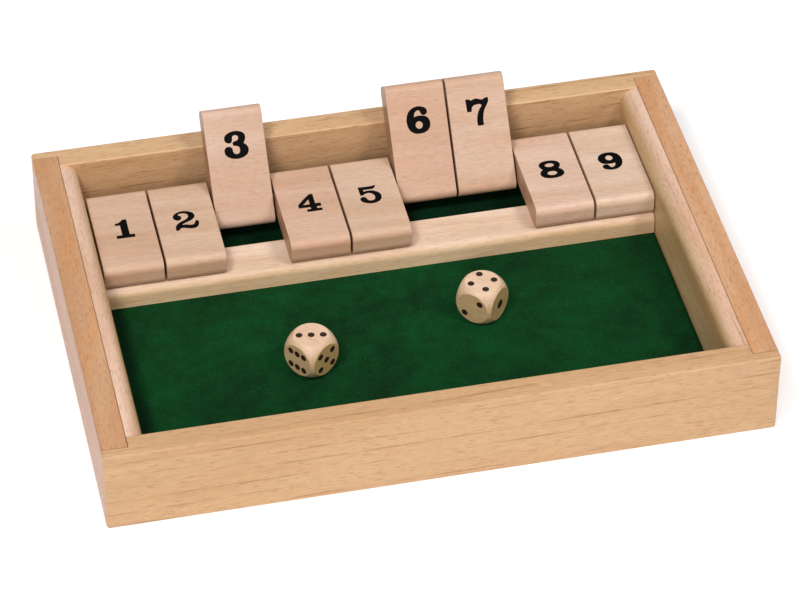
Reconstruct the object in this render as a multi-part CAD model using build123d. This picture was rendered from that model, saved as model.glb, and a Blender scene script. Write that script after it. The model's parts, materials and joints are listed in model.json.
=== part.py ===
"""Shut the box game: an open beech tray with a cloth floor, nine numbered flaps that turn on one
rod, a rail that the flaps rest on, and two wooden dice.

Millimetres. +Z is up, -Y is the player's side, and the origin is the centre of the tray's underside.
Flaps 3, 6 and 7 are raised and lean on the back wall; the other six are down."""
import os
from math import asin, atan2, degrees, hypot

from build123d import *

# ---------------------------------------------------------------- driving dimensions
# Tray walls
TRAY_WIDTH = 275.0          # along X, over the side walls
TRAY_DEPTH = 193.0          # along Y, over the front and back walls
TRAY_HEIGHT = 38.0
WALL = 11.0                 # thickness of all four walls
TONGUE = 4.5                # what is left of the front and back walls outside their end rebates
CORNER_ROUND = 1.5          # upright outer corners
TOP_ROUND = 1.0             # outer edges of the rim
FOOT_ROUND = 0.6            # outer edges of the underside
RIM_ROUND = 0.8             # inner edges of the rim

# Floor
PANEL = 3.0                 # base panel thickness
PANEL_LIFT = 2.8            # underside of the panel above the table
GROOVE_DEPTH = 4.0
GROOVE_PLAY = 0.1           # all round the panel's edge, in its groove
FELT = 1.2
FELT_MARGIN = 0.3           # from the cloth's edge to the walls and strips

# Strips that hold the rod
STRIP = 7.2                 # thickness
STRIP_ROUND = 6.8           # quarter-round top
STRIP_DROP = 0.4            # top of the strip below the rim

# Rest rail
RAIL_HEIGHT = 9.0           # above the cloth
RAIL_DEPTH = 19.0
RAIL_NOSE = 1.4             # how far it stands out in front of the flaps
RAIL_FRONT_ROUND = 3.5
RAIL_REAR_ROUND = 0.4
RAIL_END_GAP = 0.4          # to each strip

# Rod
ROD_RADIUS = 1.5
ROD_GRIP = 0.02             # radial clearance in the strips
ROD_RUN = 0.05              # radial clearance in the flaps
ROD_END_PLAY = 0.3          # to each side wall
ROD_FROM_BACK = 19.5        # rod axis to the back wall's inner face

# Flaps
FLAP_COUNT = 9
FLAP_GAP = 1.0              # between neighbours
ROW_LEFT_GAP = 1.5          # between the left strip and the row, which has slid to the right
ROW_RIGHT_GAP = 0.5
FLAP_LENGTH = 51.0
FLAP_THICK = 11.0
FLAP_ROUND = 3.5            # the four edges that run across
FLAP_EASE = 0.3             # the edges of the two sawn sides
ROD_FROM_REAR = 11.0        # rod axis to the rear end of a flap that is down
SEAT_GAP = 0.05             # flap to rail
LEAN_GAP = 0.2              # raised flap to the back wall's rim
RAISED = (3, 6, 7)

# Dice
DIE_SIZE = 17.0
DIE_BALL = 11.2             # radius of the ball that rounds the cube's corners
DIE_EASE = 0.4              # edge of each flat face
PIP_RADIUS = 1.3
PIP_DEPTH = 0.8
PIP_PITCH = 3.5             # from the face's centre lines to the outer pips
DIE_1_PLACE = (-41.0, -27.3)
DIE_1_TURN = -54.3          # degrees about Z
DIE_2_PLACE = (35.0, -10.0)
DIE_2_TURN = -42.9

# ---------------------------------------------------------------- worked out from them
INNER_X = TRAY_WIDTH / 2 - WALL             # inner face of a side wall
INNER_Y = TRAY_DEPTH / 2 - WALL             # inner face of the front or back wall
STRIP_X = INNER_X - STRIP                   # inner face of a strip
PANEL_TOP = PANEL_LIFT + PANEL
FLOOR = PANEL_TOP + FELT
RAIL_TOP = FLOOR + RAIL_HEIGHT
ROD_Y = INNER_Y - ROD_FROM_BACK
ROD_Z = RAIL_TOP + SEAT_GAP + FLAP_THICK / 2
FLAP_PITCH = (2 * STRIP_X - ROW_LEFT_GAP - ROW_RIGHT_GAP + FLAP_GAP) / FLAP_COUNT
FLAP_WIDTH = FLAP_PITCH - FLAP_GAP
FLAP_FRONT = ROD_FROM_REAR - FLAP_LENGTH    # front end of a flap that is down, from the rod
RAIL_FRONT = ROD_Y + FLAP_FRONT - RAIL_NOSE
BEYOND = TRAY_HEIGHT                        # how far a cutting box runs past what it cuts

# Pips as (column, row) steps of PIP_PITCH on a face
PIPS = {
    1: [(0, 0)],
    2: [(-1, -1), (1, 1)],
    3: [(-1, -1), (0, 0), (1, 1)],
    4: [(-1, -1), (-1, 1), (1, -1), (1, 1)],
    5: [(-1, -1), (-1, 1), (0, 0), (1, -1), (1, 1)],
    6: [(-1, -1), (0, -1), (1, -1), (-1, 1), (0, 1), (1, 1)],
}


def edges_at(solid, axis, **place):
    """Straight edges of a solid that run along axis, at the given centre coordinates."""
    chosen = solid.edges().filter_by(axis)
    return [e for e in chosen if all(abs(getattr(e.center(), k) - v) < 1e-3 for k, v in place.items())]


def tray_block():
    """The whole tray as one block with softened outer edges, which every wall is cut from."""
    block = Box(TRAY_WIDTH, TRAY_DEPTH, TRAY_HEIGHT, align=(Align.CENTER, Align.CENTER, Align.MIN))
    block = fillet(block.edges().filter_by(Axis.Z), CORNER_ROUND)
    block = fillet(block.edges().group_by(Axis.Z)[-1], TOP_ROUND)
    return fillet(block.edges().group_by(Axis.Z)[0], FOOT_ROUND)


def box_between(low, high):
    """A box from its lowest to its highest corner."""
    return Pos(*low) * Box(*(h - l for l, h in zip(low, high)), align=(Align.MIN,) * 3)


def panel_groove(half_y):
    """The space for the panel and its play, cut into a wall. half_y is how far it runs along Y."""
    half_x = INNER_X + GROOVE_DEPTH
    low = PANEL_LIFT - GROOVE_PLAY
    high = PANEL_TOP + GROOVE_PLAY
    return box_between((-half_x, -half_y, low), (half_x, half_y, high))


def end_wall():
    """Back wall. Its ends are rebated, and a side wall fills each rebate."""
    low, high = -BEYOND, TRAY_HEIGHT + BEYOND
    wall = tray_block() & box_between((-TRAY_WIDTH, INNER_Y, low), (TRAY_WIDTH, TRAY_DEPTH, high))
    shoulder = TRAY_DEPTH / 2 - TONGUE
    for near, far in ((-TRAY_WIDTH, -INNER_X), (INNER_X, TRAY_WIDTH)):
        wall -= box_between((near, INNER_Y - BEYOND, low), (far, shoulder, high))
    wall = fillet(edges_at(wall, Axis.X, Y=INNER_Y, Z=TRAY_HEIGHT), RIM_ROUND)
    return wall - panel_groove(half_y=INNER_Y + GROOVE_DEPTH)


def side_wall():
    """Right side wall, between the tongues of the front and back walls."""
    end = TRAY_DEPTH / 2 - TONGUE
    low, high = -BEYOND, TRAY_HEIGHT + BEYOND
    wall = tray_block() & box_between((INNER_X, -end, low), (TRAY_WIDTH, end, high))
    wall = fillet(edges_at(wall, Axis.Y, X=INNER_X, Z=TRAY_HEIGHT), RIM_ROUND)
    return wall - panel_groove(half_y=TRAY_DEPTH)


def base_panel():
    """Thin panel whose edge sits in the walls' groove."""
    half_x = INNER_X + GROOVE_DEPTH - GROOVE_PLAY
    half_y = INNER_Y + GROOVE_DEPTH - GROOVE_PLAY
    return box_between((-half_x, -half_y, PANEL_LIFT), (half_x, half_y, PANEL_TOP))


def tray_felt():
    """Cloth glued on the panel, between the strips."""
    half_x = STRIP_X - FELT_MARGIN
    half_y = INNER_Y - FELT_MARGIN
    return box_between((-half_x, -half_y, PANEL_TOP), (half_x, half_y, FLOOR))


def rod_at(radius, length):
    """A cylinder on the rod's axis."""
    return Pos(0, ROD_Y, ROD_Z) * Rot(0, 90, 0) * Cylinder(radius, length)


def strip():
    """Right strip: a board with a quarter-round top, bored for the rod."""
    top = TRAY_HEIGHT - STRIP_DROP
    board = box_between((STRIP_X, -INNER_Y, PANEL_TOP), (INNER_X, INNER_Y, top))
    board = fillet(edges_at(board, Axis.Y, X=STRIP_X, Z=top), STRIP_ROUND)
    return board - rod_at(ROD_RADIUS + ROD_GRIP, TRAY_WIDTH)


def rest_rail():
    """Rail across the floor, rounded towards the player."""
    half = STRIP_X - RAIL_END_GAP
    rail = box_between((-half, RAIL_FRONT, FLOOR), (half, RAIL_FRONT + RAIL_DEPTH, RAIL_TOP))
    rail = fillet(edges_at(rail, Axis.X, Y=RAIL_FRONT, Z=RAIL_TOP), RAIL_FRONT_ROUND)
    return fillet(edges_at(rail, Axis.X, Y=RAIL_FRONT + RAIL_DEPTH, Z=RAIL_TOP), RAIL_REAR_ROUND)


def lean_angle():
    """Degrees from flat to where a flap's back face meets the rounded rim of the back wall."""
    across = INNER_Y + RIM_ROUND - ROD_Y
    up = TRAY_HEIGHT - RIM_ROUND - ROD_Z
    stand_off = FLAP_THICK / 2 + LEAN_GAP + RIM_ROUND
    slope = atan2(up, across) + asin(stand_off / hypot(across, up))
    return 180 - degrees(slope)


def flap():
    """One flap lying flat, with its rod hole at the origin and its front end towards -Y."""
    board = box_between((-FLAP_WIDTH / 2, FLAP_FRONT, -FLAP_THICK / 2),
                        (FLAP_WIDTH / 2, ROD_FROM_REAR, FLAP_THICK / 2))
    board = fillet(board.edges().filter_by(Axis.X), FLAP_ROUND)
    sides = board.faces().filter_by(Axis.X)
    board = fillet([edge for side in sides for edge in side.edges()], FLAP_EASE)
    return board - Rot(0, 90, 0) * Cylinder(ROD_RADIUS + ROD_RUN, 2 * FLAP_WIDTH)


def place_flap(board, number):
    """A flap on the rod, at its place in the row, turned up if it is a raised one."""
    x = ROW_LEFT_GAP - STRIP_X + FLAP_WIDTH / 2 + (number - 1) * FLAP_PITCH
    turn = lean_angle() if number in RAISED else 0
    return Pos(x, ROD_Y, ROD_Z) * Rot(-turn, 0, 0) * board


def die_faces(top, left, right):
    """The pip count of each face of a die, as (count, how to turn +Z onto the face)."""
    return [
        (top, Rot(0, 0, 0)), (7 - top, Rot(180, 0, 0)),
        (left, Rot(90, 0, 0)), (7 - left, Rot(-90, 0, 0)),
        (right, Rot(0, 90, 0)), (7 - right, Rot(0, -90, 0)),
    ]


def die(top, left, right):
    """A die at the origin: a cube with ball-rounded corners and drilled pips."""
    body = Box(DIE_SIZE, DIE_SIZE, DIE_SIZE) & Sphere(DIE_BALL)
    body = fillet(body.edges(), DIE_EASE)
    ball = (PIP_RADIUS ** 2 + PIP_DEPTH ** 2) / (2 * PIP_DEPTH)
    lift = DIE_SIZE / 2 - PIP_DEPTH + ball
    for count, turn in die_faces(top, left, right):
        for column, row in PIPS[count]:
            body -= turn * Pos(column * PIP_PITCH, row * PIP_PITCH, lift) * Sphere(ball)
    return body


def main():
    os.makedirs("parts", exist_ok=True)
    back = end_wall()
    right = side_wall()
    right_strip = strip()
    board = flap()
    rest = FLOOR + DIE_SIZE / 2
    nodes = {
        "back_wall": back,
        "front_wall": mirror(back, about=Plane.XZ),
        "right_wall": right,
        "left_wall": mirror(right, about=Plane.YZ),
        "base_panel": base_panel(),
        "tray_felt": tray_felt(),
        "right_strip": right_strip,
        "left_strip": mirror(right_strip, about=Plane.YZ),
        "rest_rail": rest_rail(),
        "pivot_rod": rod_at(ROD_RADIUS, 2 * (INNER_X - ROD_END_PLAY)),
        "die_1": Pos(*DIE_1_PLACE, rest) * Rot(0, 0, DIE_1_TURN) * die(top=3, left=6, right=5),
        "die_2": Pos(*DIE_2_PLACE, rest) * Rot(0, 0, DIE_2_TURN) * die(top=4, left=2, right=1),
    }
    for number in range(1, FLAP_COUNT + 1):
        nodes[f"flap_{number}"] = place_flap(board, number)
    for name, solid in nodes.items():
        export_step(solid, f"parts/{name}.step")
    print(f"lean angle {lean_angle():.3f} degrees, rod at y {ROD_Y:.3f}, z {ROD_Z:.3f}")


main()
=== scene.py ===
"""Looks of the shut the box game: beech, green baize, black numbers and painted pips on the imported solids.

Metres. +Z is up and -Y is the player's side. Sections follow the order in which it is put together."""

import json
from math import radians

import bmesh
import bpy
from mathutils import Matrix, Vector, noise


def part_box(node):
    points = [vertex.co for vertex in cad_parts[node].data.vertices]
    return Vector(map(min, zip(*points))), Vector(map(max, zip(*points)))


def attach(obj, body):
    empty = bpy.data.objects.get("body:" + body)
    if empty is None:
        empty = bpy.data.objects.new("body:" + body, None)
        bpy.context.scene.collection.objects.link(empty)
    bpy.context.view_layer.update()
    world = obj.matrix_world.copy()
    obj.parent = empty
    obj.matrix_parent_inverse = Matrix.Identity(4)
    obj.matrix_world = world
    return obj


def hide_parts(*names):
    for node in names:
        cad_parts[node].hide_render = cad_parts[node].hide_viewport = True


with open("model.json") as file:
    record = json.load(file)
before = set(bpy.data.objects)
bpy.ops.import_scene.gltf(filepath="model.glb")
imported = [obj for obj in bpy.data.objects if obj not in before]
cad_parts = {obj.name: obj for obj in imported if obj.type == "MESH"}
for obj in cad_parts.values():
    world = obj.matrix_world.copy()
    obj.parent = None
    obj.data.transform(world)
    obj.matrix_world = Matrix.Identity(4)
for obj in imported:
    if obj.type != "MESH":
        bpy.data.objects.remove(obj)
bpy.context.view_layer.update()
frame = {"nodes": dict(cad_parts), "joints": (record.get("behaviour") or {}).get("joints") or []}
solids = frame["nodes"]

# ---------------------------------------------------------------- Tray walls
# Four boards of steamed beech, planed, sanded and given one thin coat of satin lacquer. The front
# and back boards have rebated ends, glued over the ends of the two side boards.
MM = 0.001
LACQUER_ROUGHNESS = 0.40        # satin
GRAIN_SLOPE = radians(2.2)      # the grain never runs quite along the board
RING = 5.5                      # mm from one growth line to the next
RING_WAY = (0.55, 0.83)         # the way the rings lie across the board
JOINT_WIDTH = 0.5               # mm of the dark line where a board meets its neighbour
DEEP = "#E8D8C6"                # what the darker bands of its growth do to its colour
WARM = "#D0936A"                # the orange flush that comes and goes in steamed beech
GLUE_LINE = "#4E2E1A"           # glue and dust in a joint
# The marks of the wood as (length, width) in mm, along and across the grain.
DRIFT = (80, 14)                # the slow wander of the grain, by WANDER mm
BAND = (120, 11)                # a band of paler or darker growth
FLUSH = (45, 5)                 # a patch of the orange flush
LINE_PART = (35, 5)             # the part of a growth line that shows
LINE_BREAK = (14, 1.0)          # the breaks within it
FIBRE_WIDTH = 0.45
WANDER = 3.0
RING_EDGE = 0.08                # half a growth line's width, as a share of a ring
LOG_STEP = (0.31, 0.17, 0.13)   # m in the log from one board to the next, so that no two look alike
FACING = (0.6, 0.95)            # how square a face is to an axis before it takes that axis's painted tone of light and shade


def linear(hex_value):
    """An sRGB hex colour as the linear colour that a shader takes."""
    parts = [int(hex_value[i:i + 2], 16) / 255 for i in (1, 3, 5)]
    return [c / 12.92 if c <= 0.04045 else ((c + 0.055) / 1.055) ** 2.4 for c in parts] + [1.0]


def add(tree, kind, inputs=None, **settings):
    """Adds one node. An input is named or numbered, and is given a value or the socket that feeds it."""
    node = tree.nodes.new("ShaderNode" + kind)
    for setting, value in settings.items():
        setattr(node, setting, value)
    for socket, value in (inputs or {}).items():
        if isinstance(value, bpy.types.NodeSocket):
            tree.links.new(value, node.inputs[socket])
        else:
            node.inputs[socket].default_value = value
    return node


def new_finish(name):
    """An empty material with that name, and its node tree."""
    material = bpy.data.materials.new(name)
    material.use_nodes = True
    material.node_tree.nodes.clear()
    return material, material.node_tree


def close_finish(tree, **shader):
    """Ends a material in one Principled shader."""
    inputs = {key.replace("_", " "): value for key, value in shader.items()}
    surface = add(tree, "BsdfPrincipled", inputs)
    add(tree, "OutputMaterial", {"Surface": surface.outputs[0]})


def beech(name, tone, board, grain="X", turn=0.0, bands=0.6, flush=0.3, lines=0.35, fibre=7.0, flecks=0.4,
          fleck_colour="#9A6238", tones=(), joints=()):
    """Lacquered beech with its grain along X or Y: soft bands of tone, an orange flush, thin growth lines
    that come and go, fibres half a millimetre wide, and the short brown flecks by which beech is known.
    To the eye it is a warm, even, satin wood, finely streaked. tones lists (axis, colour) that multiply
    faces square to an axis: painted light and shade. joints lists dark glue lines as (axis, where it starts,
    where it is darkest, depth)."""
    material, tree = new_finish(name)
    coordinates = add(tree, "TexCoord")
    along = "XYZ".index(grain)
    across = [axis for axis in range(3) if axis != along]
    slope = [0.0 if axis == along else GRAIN_SLOPE for axis in range(3)]
    slope[2] -= turn
    log = add(tree, "Mapping", {"Vector": coordinates.outputs["Object"], "Rotation": slope,
                                "Location": [step * board for step in LOG_STEP]})

    def stretched(mark, source):
        """Coordinates in which a mark of this (length, width) in millimetres measures one."""
        rate = [1 / (mark[1] * MM)] * 3
        rate[along] = 1 / (mark[0] * MM)
        return add(tree, "VectorMath", {0: source, 1: rate}, operation="MULTIPLY").outputs[0]

    def marks(mark, detail, low, high, bottom=0.0, top=1.0):
        """Noise stretched to a mark's size, with its part between low and high spread from bottom to top."""
        texture = add(tree, "TexNoise", {"Vector": stretched(mark, wandering.outputs[0]),
                                         "Scale": 1.0, "Detail": detail})
        return add(tree, "MapRange", {"Value": texture.outputs["Fac"], "From Min": low, "From Max": high,
                                      "To Min": bottom, "To Max": top}).outputs[0]

    def painted(under, over, share, blend="MIX"):
        """One colour laid over another by a share."""
        return add(tree, "Mix", {0: share, 6: under, 7: over}, data_type="RGBA", blend_type=blend).outputs[2]

    drift = add(tree, "TexNoise", {"Vector": stretched(DRIFT, log.outputs[0]), "Scale": 1.0, "Detail": 1.0})
    wandering = add(tree, "VectorMath", {0: drift.outputs["Color"], 1: [WANDER * MM] * 3, 2: log.outputs[0]},
                    operation="MULTIPLY_ADD")
    ring_rate = [0.0] * 3
    for axis, share in zip(across, RING_WAY):
        ring_rate[axis] = share / (RING * MM)
    rings = add(tree, "VectorMath", {0: wandering.outputs[0], 1: ring_rate}, operation="DOT_PRODUCT")
    ring = add(tree, "Math", {0: rings.outputs["Value"], 1: 0.5}, operation="PINGPONG")
    line = add(tree, "MapRange", {"Value": ring.outputs[0], "From Min": 0.0, "From Max": RING_EDGE,
                                  "To Min": 1.0, "To Max": 0.0})
    late_wood = add(tree, "Math", {0: line.outputs[0], 1: marks(LINE_PART, 1.0, 0.42, 0.62, top=lines)},
                    operation="MULTIPLY")
    broken = add(tree, "Math", {0: late_wood.outputs[0], 1: marks(LINE_BREAK, 1.0, 0.32, 0.55)},
                 operation="MULTIPLY")
    fibres = marks((fibre, FIBRE_WIDTH), 3.0, 0.28, 0.72, 0.90, 1.07)
    dashes = marks((0.7 * fibre, FIBRE_WIDTH), 1.0, 0.58, 0.70, top=flecks)
    colour = painted(linear(tone), linear(DEEP), marks(BAND, 2.0, 0.38, 0.62, top=bands), "MULTIPLY")
    colour = painted(colour, linear(WARM), marks(FLUSH, 2.0, 0.48, 0.70, top=flush))
    colour = painted(colour, linear(fleck_colour), broken.outputs[0])
    colour = painted(colour, fibres, 1.0, "MULTIPLY")
    colour = painted(colour, linear(fleck_colour), dashes)
    facing = add(tree, "Mapping", {"Vector": coordinates.outputs["Normal"], "Rotation": (0.0, 0.0, -turn)},
                 vector_type="VECTOR")
    facing = add(tree, "SeparateXYZ", {0: facing.outputs[0]})
    # Faces square to an axis take that axis's tone: painted light and shade.
    for axis, face_tone in tones:
        turned = add(tree, "Math", {0: facing.outputs[axis]}, operation="ABSOLUTE")
        share = add(tree, "MapRange", {"Value": turned.outputs[0], "From Min": FACING[0],
                                       "From Max": FACING[1]})
        colour = painted(colour, linear(face_tone), share.outputs[0], "MULTIPLY")
    place = add(tree, "SeparateXYZ", {0: coordinates.outputs["Object"]}) if joints else None
    for axis, clear, dark, depth in joints:
        share = add(tree, "MapRange", {"Value": place.outputs[axis], "From Min": clear * MM,
                                       "From Max": dark * MM, "To Max": depth})
        colour = painted(colour, linear(GLUE_LINE), share.outputs[0])
    gloss = add(tree, "MapRange", {"Value": fibres, "From Min": 0.90, "From Max": 1.07,
                                   "To Min": LACQUER_ROUGHNESS + 0.08, "To Max": LACQUER_ROUGHNESS - 0.04})
    pores = add(tree, "Math", {0: fibres, 1: dashes}, operation="SUBTRACT")
    relief = add(tree, "Bump", {"Height": pores.outputs[0], "Strength": 0.25, "Distance": 0.1 * MM})
    close_finish(tree, Base_Color=colour, Roughness=gloss.outputs[0], IOR=1.5, Normal=relief.outputs[0])
    return material


# The tones darken the front and back faces, and the back wall's top, a little: painted shade.
for number, (wall, tone, tones) in enumerate((("front_wall", "#CBA379", [(1, "#F9F8F4")]),
                                              ("back_wall", "#E0B689", [(1, "#F0F1F1"), (2, "#F4F5F5")]))):
    solids[wall].data.materials[0] = beech(wall + "_beech", tone, board=number, bands=0.45, flush=0.15,
                                           lines=0.75, fleck_colour="#8C5C36", tones=tones)
side_low, side_high = (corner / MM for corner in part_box("right_wall"))
# Their tops are given a warmer tone than their faces: painted light and shade.
for number, (wall, side, tone) in enumerate((("left_wall", -1, "#CCA188"), ("right_wall", 1, "#D6A991"))):
    side_joints = [(1, side_low.y + JOINT_WIDTH, side_low.y, 0.8),
                   (1, side_high.y - JOINT_WIDTH, side_high.y, 0.35),
                   (0, side * (side_low.x + JOINT_WIDTH), side * side_low.x, 0.6)]
    solids[wall].data.materials[0] = beech(wall + "_beech", tone, board=number + 5, grain="Y", bands=0.6,
                                           flush=0.6, lines=0.15, fibre=4.5, flecks=0.5,
                                           fleck_colour="#A05E38", tones=[(2, "#FAF6DC")], joints=side_joints)

# ---------------------------------------------------------------- Base panel
# Three-millimetre beech plywood, rotary cut and sanded, slid into the grooves before the last wall
# is glued on. Only its plain underside shows.
solids["base_panel"].data.materials[0] = beech("base_panel_ply", "#CBB08C", board=11, lines=0.2)

# ---------------------------------------------------------------- Tray cloth
# One piece of short-napped green baize, cut square and glued flat to the panel between the strips.
# Its nap is pressed lighter and darker by the glue and by handling.
CLOTH_STEP = 2.0                # mm between the points of its surface
CLOTH_HOLLOW = 0.22             # mm, the deepest hollow in the nap
HOLLOW_SPACING = 9.0            # mm from one hollow to the next
PRESSED, LIFTED = "#0B2E14", "#0B411E"
LINT = "#2A6440"                # loose ends of fibre that catch the light
SHEEN = "#2F7F4E"
CLOTH_SHADE = "#B4B4CC"             # what the painted shade does to its colour
SHADOW_BAND = 10.0             # mm of painted shadow along the left strip
SHADE_BLEND = 5.0             # mm over which one turns into the other


def baize(name, rail_back, left_edge):
    """Wool-blend baize: deep bottle green, quite matt, with lighter nap in soft patches. Behind the rest
    rail, and in a band along the left strip, it is painted a darker blue-green: painted shade under the flaps
    and painted shadow of the strip."""
    material, tree = new_finish(name)
    coordinates = add(tree, "TexCoord")
    scaled = {}
    for mark, size in (("patch", 26), ("mottle", 7), ("nap", 0.9), ("lint", 2.4)):
        scaled[mark] = add(tree, "VectorMath", {0: coordinates.outputs["Object"], "Scale": 1 / (size * MM)},
                           operation="SCALE").outputs[0]
    patch = add(tree, "TexNoise", {"Vector": scaled["patch"], "Scale": 1.0, "Detail": 3.0, "Roughness": 0.6})
    mottle = add(tree, "TexNoise", {"Vector": scaled["mottle"], "Scale": 1.0, "Detail": 2.0})
    both = add(tree, "Mix", {0: 0.35, 2: patch.outputs["Fac"], 3: mottle.outputs["Fac"]})
    worn = add(tree, "MapRange", {"Value": both.outputs[0], "From Min": 0.38, "From Max": 0.66})
    tone = add(tree, "Mix", {0: worn.outputs[0], 6: linear(PRESSED), 7: linear(LIFTED)},
               data_type="RGBA")
    nap = add(tree, "TexNoise", {"Vector": scaled["nap"], "Scale": 1.0, "Detail": 2.0})
    grain = add(tree, "MapRange", {"Value": nap.outputs["Fac"], "From Min": 0.3, "From Max": 0.7,
                                   "To Min": 0.82, "To Max": 1.2})
    napped = add(tree, "Mix", {0: 1.0, 6: tone.outputs[2], 7: grain.outputs[0]},
                 data_type="RGBA", blend_type="MULTIPLY")
    lint = add(tree, "TexVoronoi", {"Vector": scaled["lint"], "Scale": 1.0})
    speck = add(tree, "MapRange", {"Value": lint.outputs["Distance"], "From Min": 0.06, "From Max": 0.16,
                                   "To Min": 0.4, "To Max": 0.0})
    colour = add(tree, "Mix", {0: speck.outputs[0], 6: napped.outputs[2], 7: linear(LINT)},
                 data_type="RGBA")
    # Painted shade: darker blue-green behind the rail and in a band along the left strip.
    place = add(tree, "SeparateXYZ", {0: coordinates.outputs["Object"]})
    behind = add(tree, "MapRange", {"Value": place.outputs["Y"], "From Min": rail_back,
                                    "From Max": rail_back + SHADE_BLEND * MM})
    beside = add(tree, "MapRange", {"Value": place.outputs["X"], "From Min": left_edge + SHADOW_BAND * MM,
                                    "From Max": left_edge + (SHADOW_BAND - SHADE_BLEND) * MM})
    shaded = add(tree, "Math", {0: behind.outputs[0], 1: beside.outputs[0]}, operation="MAXIMUM")
    colour = add(tree, "Mix", {0: shaded.outputs[0], 6: colour.outputs[2], 7: linear(CLOTH_SHADE)},
                 data_type="RGBA", blend_type="MULTIPLY")
    relief = add(tree, "Bump", {"Height": nap.outputs["Fac"], "Strength": 0.6, "Distance": 0.25 * MM})
    close_finish(tree, Base_Color=colour.outputs[2], Roughness=0.95, IOR=1.4, Sheen_Weight=0.06,
                 Sheen_Roughness=0.4, Sheen_Tint=linear(SHEEN), Normal=relief.outputs[0],
                 Specular_IOR_Level=0.1)
    return material


def new_piece(name, shape, material, body):
    """Makes an object of a bmesh, gives it its material, and fixes it to a body."""
    mesh = bpy.data.meshes.new(name)
    shape.to_mesh(mesh)
    shape.free()
    mesh.materials.append(material)
    piece = bpy.data.objects.new(name, mesh)
    bpy.context.scene.collection.objects.link(piece)
    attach(piece, body)
    return piece


low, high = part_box("tray_felt")
cloth_size = high - low
cloth_middle = (low + high) / 2
cloth = bmesh.new()
bmesh.ops.create_grid(cloth, x_segments=round(cloth_size.x / (CLOTH_STEP * MM)),
                      y_segments=round(cloth_size.y / (CLOTH_STEP * MM)), size=0.5)
bmesh.ops.scale(cloth, vec=(cloth_size.x, cloth_size.y, 1), verts=cloth.verts)
bmesh.ops.translate(cloth, vec=(cloth_middle.x, cloth_middle.y, high.z), verts=cloth.verts)
for point in cloth.verts:
    lie = 0.5 + 0.5 * noise.noise(point.co / (HOLLOW_SPACING * MM))
    point.co.z -= CLOTH_HOLLOW * MM * lie * lie
rim = [edge for edge in cloth.edges if edge.is_boundary]
sides = bmesh.ops.extrude_edge_only(cloth, edges=rim)["geom"]
for point in (item for item in sides if isinstance(item, bmesh.types.BMVert)):
    point.co.z = low.z
bmesh.ops.contextual_create(cloth, geom=[item for item in sides if isinstance(item, bmesh.types.BMEdge)
                                         and item.is_boundary])
bmesh.ops.recalc_face_normals(cloth, faces=cloth.faces)
for face in cloth.faces:
    face.smooth = face.normal.z > 0.5
cloth = new_piece("tray_cloth", cloth, baize("green_baize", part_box("rest_rail")[1].y, low.x), "tray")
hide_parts("tray_felt")

# ---------------------------------------------------------------- Strips
# Two beech strips with a quarter-round top, glued inside the side walls, bored to hold the rod.
# They are cut from paler, pinker wood than the walls.
# Their faces square to X are tinted darker and olive: painted shade and painted green light from the cloth.
for number, strip in enumerate(("left_strip", "right_strip")):
    solids[strip].data.materials[0] = beech(strip + "_beech", "#E3C0A8", board=number + 13, grain="Y",
                                            bands=0.9, flush=0.2, lines=0.5, fibre=5.0,
                                            fleck_colour="#92664A", tones=[(0, "#F1F5D5")])

# ---------------------------------------------------------------- Rest rail
# A beech rail glued on the cloth, its front top edge rounded over with a router. The flaps that are
# down rest on it.
# Its top is tinted a little darker and its front and back faces warmer: painted light and shade.
solids["rest_rail"].data.materials[0] = beech("rest_rail_beech", "#EBCCB4", board=17, lines=0.3, flecks=0.25,
                                              tones=[(1, "#FFFFEC"), (2, "#F9FEFF")])

# ---------------------------------------------------------------- Rod
# Drawn and lightly brushed steel wire, pushed through the strips and all nine flaps before the walls
# are glued. It shows only as a glint between the flaps.
ROD_SCRATCH = (4.0, 0.08)       # mm along and across; the real ones are finer and wouldn't show
BRIGHT_STEEL, DULL_STEEL = "#9C9A96", "#7E7C79"
rod_finish, tree = new_finish("rod_steel_drawn")
coordinates = add(tree, "TexCoord")
drawn = add(tree, "VectorMath", {0: coordinates.outputs["Object"],
                                 1: [1 / (ROD_SCRATCH[0] * MM)] + [1 / (ROD_SCRATCH[1] * MM)] * 2},
            operation="MULTIPLY")
scratches = add(tree, "TexNoise", {"Vector": drawn.outputs[0], "Scale": 1.0, "Detail": 2.0})
steel = add(tree, "Mix", {0: scratches.outputs["Fac"], 6: linear(BRIGHT_STEEL), 7: linear(DULL_STEEL)},
            data_type="RGBA")
polish = add(tree, "MapRange", {"Value": scratches.outputs["Fac"], "To Min": 0.40, "To Max": 0.55})
relief = add(tree, "Bump", {"Height": scratches.outputs["Fac"], "Strength": 0.15, "Distance": 0.02 * MM})
close_finish(tree, Base_Color=steel.outputs[2], Metallic=1.0, Roughness=polish.outputs[0],
             Normal=relief.outputs[0])
solids["pivot_rod"].data.materials[0] = rod_finish

# ---------------------------------------------------------------- Flaps
# Nine blocks sawn from one rounded beech moulding, so the grain runs across each of them and their
# sawn sides are end grain. They are the palest and pinkest wood of the game.
FLAPS = range(1, 10)
FLAP_TONES = ["#D7B49B", "#DAB89E", "#D3B19B", "#DAB49B", "#DCBBA1", "#D4AE96", "#D3B199", "#E5C3AD",
              "#E5C9B2"]
RAISED = (3, 6, 7)
SIDE_SHADE = (0, "#DCD2C2")           # painted shade on the sawn sides
TOP_SHADE = (2, "#F6F6F6")       # painted shade: a flap that is down has its top darkened
NOSE_LIGHT = (1, "#FFF8F2")        # and a nose left warmer and paler than that top: painted light
for number, tone in zip(FLAPS, FLAP_TONES):
    tones = [SIDE_SHADE] if number in RAISED else [SIDE_SHADE, NOSE_LIGHT, TOP_SHADE]
    solids[f"flap_{number}"].data.materials[0] = beech(
        f"flap_{number}_beech", tone, board=number + 20, bands=0.5, flush=0.15, lines=0.12, fibre=5.0,
        flecks=0.3, fleck_colour="#A87654", tones=tones)

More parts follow.
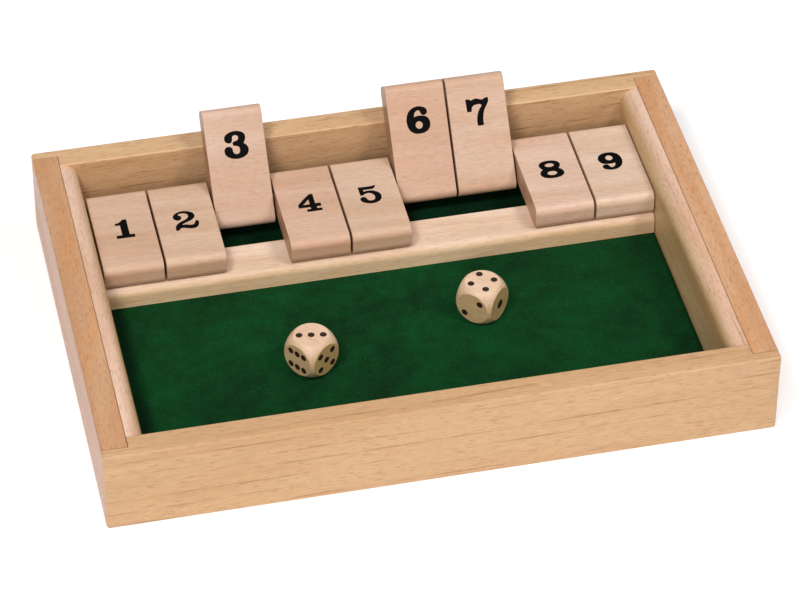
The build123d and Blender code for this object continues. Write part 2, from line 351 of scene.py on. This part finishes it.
# ---------------------------------------------------------------- Numbers
# Black figures with slab feet and ball ends, hot-stamped on both faces of each flap: one reads when
# the flap is down, the other when it leans back. Each is 12 mm tall and barely proud of the wood.
INK_DEPTH = 0.06                # mm of foil, half of it in the wood
TOP_FIGURE_Y = 14.3             # mm from the rod to the figure on the upper face, towards the player
UNDER_FIGURE_Y = 23.9           # mm from the rod to the figure on the lower face
FOIL_GRAIN = (3.0, 0.4)         # mm along and across the wood's fibres, where the foil is thin
FOIL, THIN_FOIL = "#060607", "#151210"
MERGE = 0.005                   # mm within which two points of an outline are one
# Each outline is drawn in millimetres. A point is smooth unless it is marked as a corner.
C = True
SIX = [(0.3, 5.8), (2.4, 5.5), (4.0, 4.6), (4.5, 3.3), (4.1, 2.3), (3.1, 1.8), (2.0, 2.1), (1.6, 2.9),
       (1.3, 3.7), (0.6, 4.1), (-0.4, 3.7), (-1.1, 2.8), (-1.4, 1.4, C), (-0.2, 1.7), (1.7, 1.7),
       (3.5, 1.3), (4.8, 0.1), (5.3, -1.8), (4.8, -3.8), (3.2, -5.3), (0.6, -5.9), (-2.2, -5.4),
       (-4.0, -3.8), (-4.8, -1.2), (-4.7, 1.2), (-3.8, 3.5), (-2.2, 5.0)]
SIX_EYE = [(0.4, -0.6), (1.5, -1.1), (1.95, -2.2), (1.5, -3.3), (0.4, -3.8), (-0.7, -3.3), (-1.15, -2.2),
           (-0.7, -1.1)]
FIGURES = {
    1: [[(-0.4, 5.9, C), (1.4, 5.9, C), (1.4, -4.1, C), (3.5, -4.1, C), (3.5, -6.1, C), (-4.3, -6.1, C),
         (-4.3, -4.1, C), (-1.8, -4.1, C), (-1.8, 2.4, C), (-3.8, 2.4, C), (-3.8, 3.7, C), (-2.3, 4.1),
         (-1.2, 4.9)]],
    2: [[(-2.0, 0.1), (-3.4, 0.9), (-3.9, 2.4), (-3.3, 4.0), (-1.8, 5.2), (0.6, 5.8), (3.2, 5.2),
         (4.8, 3.9), (5.3, 2.3), (4.9, 0.8), (3.8, -0.4), (1.9, -1.4), (0.3, -2.2), (-0.6, -2.9),
         (0.6, -3.0), (2.4, -3.6), (3.7, -3.6), (4.5, -2.9), (5.0, -1.8), (5.6, -1.2), (6.3, -1.6),
         (6.4, -3.0), (5.9, -4.6), (4.7, -5.8), (3.1, -6.1), (1.2, -5.6), (-0.4, -5.1), (-1.5, -5.1),
         (-2.2, -5.7), (-2.5, -6.4, C), (-3.9, -6.4, C), (-3.8, -4.6), (-3.3, -3.0), (-2.2, -1.7),
         (-0.8, -0.8), (0.9, 0.1), (2.1, 1.1), (2.6, 2.3), (2.3, 3.4), (1.2, 4.2), (-0.2, 4.4),
         (-1.3, 4.1), (-1.5, 3.5), (-0.8, 2.9), (-0.4, 2.0), (-0.7, 0.8)]],
    3: [[(-2.1, 1.0), (-3.3, 1.6), (-3.8, 2.8), (-3.3, 4.3), (-1.9, 5.3), (0.6, 5.9), (3.3, 5.5),
         (4.9, 4.4), (5.3, 2.9), (4.9, 1.5), (4.3, 0.4, C), (5.5, -0.6), (6.1, -2.1), (5.7, -3.9),
         (4.3, -5.2), (2.4, -5.8), (0.4, -5.9), (-2.1, -5.3), (-3.7, -4.1), (-4.3, -2.4), (-3.9, -1.1),
         (-2.7, -0.4), (-1.4, -0.7), (-0.7, -1.6), (-0.6, -2.8), (0.0, -3.6), (1.0, -3.9), (2.0, -3.4),
         (2.4, -2.3), (2.1, -1.1), (1.2, -0.5), (0.1, -0.3), (-0.4, 0.4), (-0.2, 1.2), (0.6, 1.6),
         (1.6, 1.9), (2.2, 2.8), (2.0, 3.7), (1.2, 4.1), (0.2, 4.0), (-0.3, 3.4), (-0.4, 2.5),
         (-0.7, 1.5), (-1.4, 1.0)]],
    4: [[(2.0, 5.6, C), (3.5, 5.6, C), (3.5, -0.8, C), (5.8, -0.8, C), (5.8, -2.9, C), (3.8, -2.9, C),
         (3.8, -4.1, C), (5.8, -4.1, C), (5.8, -5.8, C), (-0.7, -5.8, C), (-0.7, -4.1, C),
         (1.1, -4.1, C), (1.1, -2.9, C), (-3.9, -2.9, C), (-3.9, -0.8, C), (-1.6, 1.9)],
        [(1.1, 2.4, C), (1.1, -1.0, C), (-1.8, -1.0, C), (-0.4, 0.5)]],
    5: [[(-2.7, 5.3, C), (3.2, 5.2), (5.0, 5.6, C), (4.4, 4.2), (3.4, 3.2, C), (-0.8, 3.2, C),
         (-0.9, 2.1, C), (0.4, 2.4), (2.6, 2.3), (4.6, 1.3), (5.8, -0.2), (6.1, -1.9), (5.6, -3.9),
         (4.2, -5.4), (1.8, -6.1), (-0.7, -5.7), (-2.5, -4.5), (-3.2, -2.9), (-2.7, -1.7), (-1.6, -1.3),
         (-0.7, -1.8), (-0.3, -2.9), (0.3, -3.8), (1.4, -4.2), (2.7, -3.7), (3.3, -2.2), (3.0, -0.6),
         (2.0, 0.5), (0.6, 0.8), (-0.7, 0.4), (-1.4, -0.2, C), (-2.7, -0.2, C)]],
    6: [SIX, SIX_EYE],
    7: [[(-4.8, 5.6, C), (-3.3, 5.6), (-2.5, 5.1), (-1.4, 5.4), (0.0, 5.6), (1.5, 5.1), (2.6, 4.9),
         (3.6, 5.4), (5.1, 5.7, C), (5.1, 4.0), (4.3, 2.4), (3.0, 0.4), (2.3, -1.8), (2.0, -3.9),
         (2.0, -6.1, C), (-0.7, -6.1, C), (-0.7, -3.5), (-0.1, -1.0), (0.9, 1.0), (1.9, 2.6),
         (1.2, 3.0), (-0.3, 3.0), (-1.5, 2.7), (-2.3, 1.8), (-2.6, 0.2, C), (-4.6, 0.2, C)]],
    8: [[(0.8, 5.6), (3.5, 5.1), (5.1, 3.8), (5.4, 2.2), (4.8, 0.7), (4.3, 0.0, C), (5.5, -1.3),
         (6.0, -2.9), (5.4, -4.6), (3.7, -5.8), (0.8, -6.2), (-2.1, -5.8), (-3.8, -4.6), (-4.4, -2.9),
         (-3.9, -1.3), (-2.7, 0.0, C), (-3.2, 0.7), (-3.8, 2.2), (-3.5, 3.8), (-1.9, 5.1)],
        [(0.8, 3.7), (2.2, 3.3), (2.8, 2.5), (2.2, 1.7), (0.8, 1.3), (-0.6, 1.7), (-1.2, 2.5),
         (-0.6, 3.3)],
        [(0.8, -1.6), (2.3, -2.0), (2.9, -2.9), (2.3, -3.8), (0.8, -4.2), (-0.7, -3.8), (-1.3, -2.9),
         (-0.7, -2.0)]],
    9: [[(-x, -y, *corner) for x, y, *corner in outline] for outline in (SIX, SIX_EYE)],
}


def black_foil(name):
    """Hot-stamped black pigment foil: even and half matt, a little thin where the grain is open."""
    material, tree = new_finish(name)
    coordinates = add(tree, "TexCoord")
    fine = add(tree, "VectorMath", {0: coordinates.outputs["Object"],
                                    1: [1 / (FOIL_GRAIN[0] * MM)] + [1 / (FOIL_GRAIN[1] * MM)] * 2},
               operation="MULTIPLY")
    grain = add(tree, "TexNoise", {"Vector": fine.outputs[0], "Scale": 1.0, "Detail": 2.0})
    thin = add(tree, "MapRange", {"Value": grain.outputs["Fac"], "From Min": 0.52, "From Max": 0.78})
    colour = add(tree, "Mix", {0: thin.outputs[0], 6: linear(FOIL), 7: linear(THIN_FOIL)},
                 data_type="RGBA")
    gloss = add(tree, "MapRange", {"Value": grain.outputs["Fac"], "To Min": 0.55, "To Max": 0.7})
    relief = add(tree, "Bump", {"Height": grain.outputs["Fac"], "Strength": 0.1, "Distance": 0.05 * MM})
    close_finish(tree, Base_Color=colour.outputs[2], Roughness=gloss.outputs[0], IOR=1.5,
                 Normal=relief.outputs[0], Specular_IOR_Level=0.06)
    return material


def stamped(figure):
    """One figure as a thin flat mesh on the XY plane, centred on the origin."""
    curve = bpy.data.curves.new("outline", "CURVE")
    curve.dimensions = "2D"
    curve.fill_mode = "BOTH"
    curve.extrude = INK_DEPTH * MM / 2
    curve.resolution_u = 5
    for outline in FIGURES[figure]:
        spline = curve.splines.new("BEZIER")
        spline.bezier_points.add(len(outline) - 1)
        spline.use_cyclic_u = True
        for knot, (x, y, *corner) in zip(spline.bezier_points, outline):
            knot.co = (x * MM, y * MM, 0)
            knot.handle_left_type = knot.handle_right_type = "VECTOR" if corner else "AUTO"
    holder = bpy.data.objects.new("outline", curve)
    bpy.context.scene.collection.objects.link(holder)
    bpy.context.view_layer.update()
    flat = bpy.data.meshes.new_from_object(holder.evaluated_get(bpy.context.evaluated_depsgraph_get()))
    shape = bmesh.new()
    shape.from_mesh(flat)
    bpy.data.objects.remove(holder)
    bmesh.ops.remove_doubles(shape, verts=shape.verts, dist=MERGE * MM)
    spread = [[point.co[axis] for point in shape.verts] for axis in range(2)]
    middle = [(min(values) + max(values)) / 2 for values in spread]
    bmesh.ops.translate(shape, vec=(-middle[0], -middle[1], 0), verts=shape.verts)
    bmesh.ops.recalc_face_normals(shape, faces=shape.faces)
    return shape


foil = black_foil("black_foil")
hinges = {joint["child"]: joint for joint in frame["joints"]}
rod_low, rod_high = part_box("pivot_rod")
flap_low, flap_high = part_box("flap_1")          # a flap that lies flat, so its box is as thick as it is
half_thick = (flap_high.z - flap_low.z) / 2
for number in FLAPS:
    body = f"flap_{number}"
    low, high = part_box(body)
    lean = radians(min(hinges[body]["range_deg"]))  # below 0 only for a flap that is raised at rest
    hinge = Vector(((low.x + high.x) / 2, (rod_low.y + rod_high.y) / 2, (rod_low.z + rod_high.z) / 2))
    at_rest = Matrix.Translation(hinge) @ Matrix.Rotation(lean, 4, "X")
    top = stamped(number)
    bmesh.ops.translate(top, vec=(0, -TOP_FIGURE_Y * MM, half_thick), verts=top.verts)
    under = stamped(number)
    bmesh.ops.rotate(under, matrix=Matrix.Rotation(radians(180), 3, "X"), verts=under.verts)
    bmesh.ops.translate(under, vec=(0, -UNDER_FIGURE_Y * MM, -half_thick), verts=under.verts)
    spare = bpy.data.meshes.new("spare")
    under.to_mesh(spare)
    under.free()
    top.from_mesh(spare)
    bpy.data.meshes.remove(spare)
    bmesh.ops.transform(top, matrix=at_rest, verts=top.verts)
    new_piece(f"number_{number}", top, foil, body)

# ---------------------------------------------------------------- Dice
# Two beech dice, tumbled so that their corners are ball-round, and left almost raw. Their pips are
# drilled shallow and filled with a drop of black paint that wets the hollow.
DICE = {"die_1": (radians(-54.3), {"top": 3, "left": 6, "right": 5}),
        "die_2": (radians(-42.9), {"top": 4, "left": 2, "right": 1})}
PIP_RADIUS = 1.3                # mm
PIP_DEPTH = 0.8
PIP_PITCH = 3.5
PAINT_RIM = 0.02                # mm that the edge of the paint stands out of the face
PAINT_SPREAD = 1.12             # how much wider than the hollow the paint has run
ACE_SPREAD = 1.6                # the same for a single pip, which is painted large
PAINT_DISH = 0.12               # mm that the paint sinks in the middle
PAINT_SLOPE = 0.35              # mm from the rim of the hollow to there
PAINT_POOL = 0.6                # mm, the size of its uneven patches
PAINT, THIN_PAINT = "#22130E", "#381F19"
PIPS = {
    1: [(0, 0)],
    2: [(-1, -1), (1, 1)],
    3: [(-1, -1), (0, 0), (1, 1)],
    4: [(-1, -1), (-1, 1), (1, -1), (1, 1)],
    5: [(-1, -1), (-1, 1), (0, 0), (1, -1), (1, 1)],
    6: [(-1, -1), (0, -1), (1, -1), (-1, 1), (0, 1), (1, 1)],
}

pip_paint, tree = new_finish("pip_paint_black")
coordinates = add(tree, "TexCoord")
fine = add(tree, "VectorMath", {0: coordinates.outputs["Object"], "Scale": 1 / (PAINT_POOL * MM)},
           operation="SCALE")
pooled = add(tree, "TexNoise", {"Vector": fine.outputs[0], "Scale": 1.0, "Detail": 1.0})
colour = add(tree, "Mix", {0: pooled.outputs["Fac"], 6: linear(PAINT), 7: linear(THIN_PAINT)},
             data_type="RGBA")
gloss = add(tree, "MapRange", {"Value": pooled.outputs["Fac"], "To Min": 0.45, "To Max": 0.65})
relief = add(tree, "Bump", {"Height": pooled.outputs["Fac"], "Strength": 0.2, "Distance": 0.05 * MM})
close_finish(tree, Base_Color=colour.outputs[2], Roughness=gloss.outputs[0], IOR=1.5,
             Normal=relief.outputs[0], Specular_IOR_Level=0.3)

PAINT_GAP = 0.02                # mm between the paint and the drilled hollow, so that they don't share a face
hollow = (PIP_RADIUS ** 2 + PIP_DEPTH ** 2) / (2 * PIP_DEPTH) - PAINT_GAP


def drop_of_paint(spread, face_height):
    """A drop that fills a hollow in a face at that height, and has run past its edge by this factor."""
    drop = bmesh.new()
    bmesh.ops.create_uvsphere(drop, u_segments=28, v_segments=20, radius=hollow * MM)
    bmesh.ops.translate(drop, vec=(0, 0, face_height + (hollow + PAINT_GAP - PIP_DEPTH) * MM),
                        verts=drop.verts)
    cut = bmesh.ops.bisect_plane(drop, geom=drop.verts[:] + drop.edges[:] + drop.faces[:],
                                 plane_co=(0, 0, face_height + PAINT_RIM * MM), plane_no=(0, 0, 1),
                                 clear_outer=True)
    edge = [item for item in cut["geom_cut"] if isinstance(item, bmesh.types.BMEdge)]
    cap = bmesh.ops.contextual_create(drop, geom=edge)["faces"]
    bmesh.ops.scale(drop, vec=(spread, spread, 1), verts=cap[0].verts)
    bmesh.ops.inset_region(drop, faces=cap, thickness=(spread - 1) * PIP_RADIUS * MM)
    bmesh.ops.inset_region(drop, faces=cap, thickness=PAINT_SLOPE * MM)
    for point in cap[0].verts:
        point.co.z -= PAINT_DISH * MM
    shape = bpy.data.meshes.new("drop")
    drop.to_mesh(shape)
    drop.free()
    return shape


for number, (die, (turn, shown)) in enumerate(DICE.items()):
    # Their side faces are tinted darker and olive: painted shade and painted green light from the cloth.
    solids[die].data.materials[0] = beech(die + "_beech", "#E3C2A6", board=number + 40, turn=turn, bands=0.4,
                                          flush=0.1, lines=0.2, fibre=5.0, flecks=0.25,
                                          tones=[(0, "#DBDCB0"), (1, "#E8EACE")])
    low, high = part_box(die)
    middle = (low + high) / 2
    half = (high.z - low.z) / 2
    faces = [(shown["top"], Matrix.Identity(3)), (7 - shown["top"], Matrix.Rotation(radians(180), 3, "X")),
             (shown["left"], Matrix.Rotation(radians(90), 3, "X")),
             (7 - shown["left"], Matrix.Rotation(radians(-90), 3, "X")),
             (shown["right"], Matrix.Rotation(radians(90), 3, "Y")),
             (7 - shown["right"], Matrix.Rotation(radians(-90), 3, "Y"))]
    drops = {False: drop_of_paint(PAINT_SPREAD, half), True: drop_of_paint(ACE_SPREAD, half)}
    pips = bmesh.new()
    for count, onto in faces:
        for column, row in PIPS[count]:
            before = len(pips.verts)
            pips.from_mesh(drops[count == 1])
            pips.verts.ensure_lookup_table()
            added = pips.verts[before:]
            bmesh.ops.translate(pips, vec=(column * PIP_PITCH * MM, row * PIP_PITCH * MM, 0), verts=added)
            bmesh.ops.rotate(pips, matrix=onto, verts=added)
    for shape in drops.values():
        bpy.data.meshes.remove(shape)
    bmesh.ops.recalc_face_normals(pips, faces=pips.faces)
    for face in pips.faces:
        face.smooth = True
    bmesh.ops.transform(pips, matrix=Matrix.Translation(middle) @ Matrix.Rotation(turn, 4, "Z"),
                        verts=pips.verts)
    new_piece(die + "_pips", pips, pip_paint, die)

# ---------------------------------------------------------------- Table, light and camera
# A plain white sweep in a faint tent of light. Two soft boxes stand high at the front left and front
# right, and weaker ones fill from the front, the right and the back. The camera looks down at 41
# degrees from a little left of the middle.
TABLE = 4.0                     # m
BELOW = 0.2                     # mm from the game's feet to the sweep
PAPER_GRAIN = 300.0             # marks per metre
FLOOR_GLOW = 0.22               # light that the lit paper adds of its own, as in an overexposed picture
TENT = 0.175
CAMERA_PLACE = (-0.2585, -1.1731, 1.0642)
CAMERA_TURN = (48.78, -0.09, -12.45)
LENS = 172.25

table_finish, tree = new_finish("white_sweep")
coordinates = add(tree, "TexCoord")
paper = add(tree, "TexNoise", {"Vector": coordinates.outputs["Object"], "Scale": PAPER_GRAIN, "Detail": 2.0})
white = add(tree, "Mix", {0: paper.outputs["Fac"], 6: linear("#F6F6F6"), 7: linear("#F9F9F9")},
            data_type="RGBA")
close_finish(tree, Base_Color=white.outputs[2], Roughness=0.9, Specular_IOR_Level=0.1,
             Emission_Color=linear("#FFFFFF"), Emission_Strength=FLOOR_GLOW)
sweep = bmesh.new()
bmesh.ops.create_grid(sweep, x_segments=2, y_segments=2, size=TABLE / 2)
bmesh.ops.translate(sweep, vec=(0, 0, -BELOW * MM), verts=sweep.verts)
mesh = bpy.data.meshes.new("sweep")
sweep.to_mesh(mesh)
sweep.free()
mesh.materials.append(table_finish)
sweep = bpy.data.objects.new("sweep", mesh)
bpy.context.scene.collection.objects.link(sweep)

world = bpy.data.worlds.new("tent")
world.use_nodes = True
world.node_tree.nodes["Background"].inputs["Color"].default_value = linear("#FFFFFF")
world.node_tree.nodes["Background"].inputs["Strength"].default_value = TENT
bpy.context.scene.world = world

# name, place in metres, width in metres, power in watts
LAMPS = (("left_key", (-0.58, -0.60, 1.37), 0.35, 12.8), ("right_key", (0.72, -0.56, 1.31), 0.40, 9.3),
         ("front_fill", (-0.45, -1.32, 0.80), 0.5, 6.8), ("right_box", (1.028, 0.0, 1.226), 0.6, 1.2),
         ("back_box", (0.0, 0.8, 1.386), 0.7, 2.6))
for name, place, width, power in LAMPS:
    light = bpy.data.lights.new(name, "AREA")
    light.shape = "SQUARE"
    light.size = width
    light.energy = power
    lamp = bpy.data.objects.new(name, light)
    lamp.location = place
    lamp.rotation_euler = (-Vector(place)).to_track_quat("-Z", "Y").to_euler()
    bpy.context.scene.collection.objects.link(lamp)

camera = bpy.data.objects.new("camera", bpy.data.cameras.new("camera"))
camera.data.lens = LENS
camera.location = CAMERA_PLACE
camera.rotation_euler = [radians(angle) for angle in CAMERA_TURN]
bpy.context.scene.collection.objects.link(camera)
bpy.context.scene.camera = camera
bpy.context.scene.view_settings.view_transform = "Standard"
